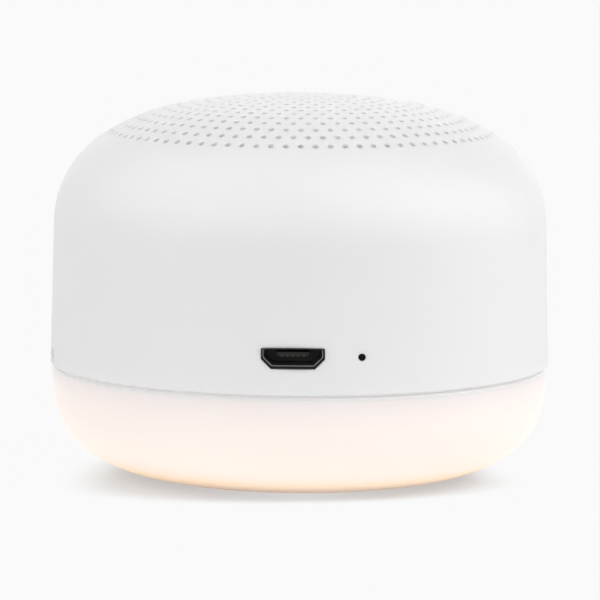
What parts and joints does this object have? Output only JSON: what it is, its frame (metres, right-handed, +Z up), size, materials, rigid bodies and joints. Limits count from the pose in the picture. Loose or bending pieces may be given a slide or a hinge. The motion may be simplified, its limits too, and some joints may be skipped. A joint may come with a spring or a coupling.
{
  "type": "white noise sound machine",
  "caption": "Palm-sized round white noise machine: domed housing with a drilled speaker grille, push buttons, charging port, and a glowing bowl-shaped night light.",
  "frame": {"origin": "middle of the rubber foot's face, on the surface that the object stands on", "axes": "+Z up through the grille's middle, -Y towards the buttons, +Y towards the charging port"},
  "size_m": [0.062, 0.0621, 0.0473],
  "materials": {
    "housing_white": "fine matt moulded texture",
    "diffuser_milk": "satin milky translucent",
    "foot_rubber": "matt",
    "screw_steel": "zinc plated",
    "chassis_white": "satin",
    "light_board_white": "white solder mask",
    "tape_grey": "matt adhesive tape",
    "package_white": "satin",
    "phosphor_amber": "clear over phosphor",
    "battery_foil": "satin foil pouch",
    "board_green": "solder mask",
    "foam_black": "closed-cell foam",
    "chip_black": "moulded epoxy",
    "capacitor_can": "bright can",
    "ceramic_tan": "ceramic",
    "ferrite_black": "sintered",
    "port_steel": "plated sheet",
    "port_black": "moulded",
    "contact_gold": "plated",
    "guide_smoke": "smoked clear",
    "button_white": "satin",
    "switch_black": "moulded",
    "chamber_grey": "satin",
    "basket_steel": "black coated",
    "yoke_steel": "zinc plated",
    "cone_paper": "pressed paper",
    "surround_rubber": "smooth",
    "spider_cloth": "resin-dipped cloth",
    "coil_copper": "enamelled wire",
    "lead_red_black": "insulated wire",
    "connector_cream": "moulded",
    "screen_pale": "woven dust cloth"
  },
  "bodies": {
    "main_body": {"upper_housing": "housing_white", "grille_screen": "screen_pale", "light_diffuser": "diffuser_milk", "foot_ring": "foot_rubber", "diffuser_screws": "screw_steel", "inner_chassis": "chassis_white", "chassis_screws": "screw_steel", "light_board_adhesive": "tape_grey", "light_board": "light_board_white", "light_packages": "package_white", "light_phosphors": "phosphor_amber", "battery_pad": "foam_black", "battery_cell": "battery_foil", "battery_board": "board_green", "main_board": "board_green", "board_screws": "screw_steel", "sound_chip": "chip_black", "amplifier_chip": "chip_black", "memory_chip": "chip_black", "bulk_capacitors": "capacitor_can", "power_inductor": "ferrite_black", "chip_capacitors": "ceramic_tan", "speaker_leads": "lead_red_black", "battery_leads": "lead_red_black", "light_leads": "lead_red_black", "lead_plugs": "connector_cream", "lead_sockets": "connector_cream", "light_board_pads": "contact_gold", "usb_shell": "port_steel", "usb_tongue": "port_black", "port_sleeve": "port_black", "usb_contacts": "contact_gold", "charge_led": "package_white", "charge_light_guide": "guide_smoke", "switch_bodies": "switch_black", "speaker_chamber": "chamber_grey", "chamber_screws": "screw_steel", "speaker_frame": "basket_steel", "speaker_yoke": "yoke_steel", "speaker_magnet": "ferrite_black", "speaker_top_plate": "yoke_steel", "speaker_surround": "surround_rubber", "speaker_spider": "spider_cloth", "speaker_gasket": "foam_black", "speaker_terminals": "contact_gold"},
    "sound_press_body": {"sound_button": "button_white", "sound_plunger": "switch_black"},
    "volume_down_press_body": {"volume_down_button": "button_white", "volume_down_plunger": "switch_black"},
    "volume_up_press_body": {"volume_up_button": "button_white", "volume_up_plunger": "switch_black"},
    "light_press_body": {"light_button": "button_white", "light_plunger": "switch_black"},
    "cone_body": {"speaker_cone": "cone_paper", "dust_cap": "cone_paper", "voice_coil_former": "capacitor_can", "voice_coil_winding": "coil_copper"}
  },
  "joints": [
    {"name": "sound_press", "type": "slide", "parent": "main_body", "child": "sound_press_body", "axis": [0.5878, 0.809, 0], "range_m": [0, 0.0003], "stiffness_N_per_m": 5300},
    {"name": "volume_down_press", "type": "slide", "parent": "main_body", "child": "volume_down_press_body", "axis": [0.2079, 0.9781, 0], "range_m": [0, 0.0003], "stiffness_N_per_m": 5300},
    {"name": "volume_up_press", "type": "slide", "parent": "main_body", "child": "volume_up_press_body", "axis": [-0.2079, 0.9781, 0], "range_m": [0, 0.0003], "stiffness_N_per_m": 5300},
    {"name": "light_press", "type": "slide", "parent": "main_body", "child": "light_press_body", "axis": [-0.5878, 0.809, 0], "range_m": [0, 0.0003], "stiffness_N_per_m": 5300},
    {"name": "cone_stroke", "type": "slide", "parent": "main_body", "child": "cone_body", "axis": [0, 0, 1], "range_m": [-0.0006, 0.0006], "stiffness_N_per_m": 1200, "deforming": ["speaker_surround", "speaker_spider"]}
  ]
}
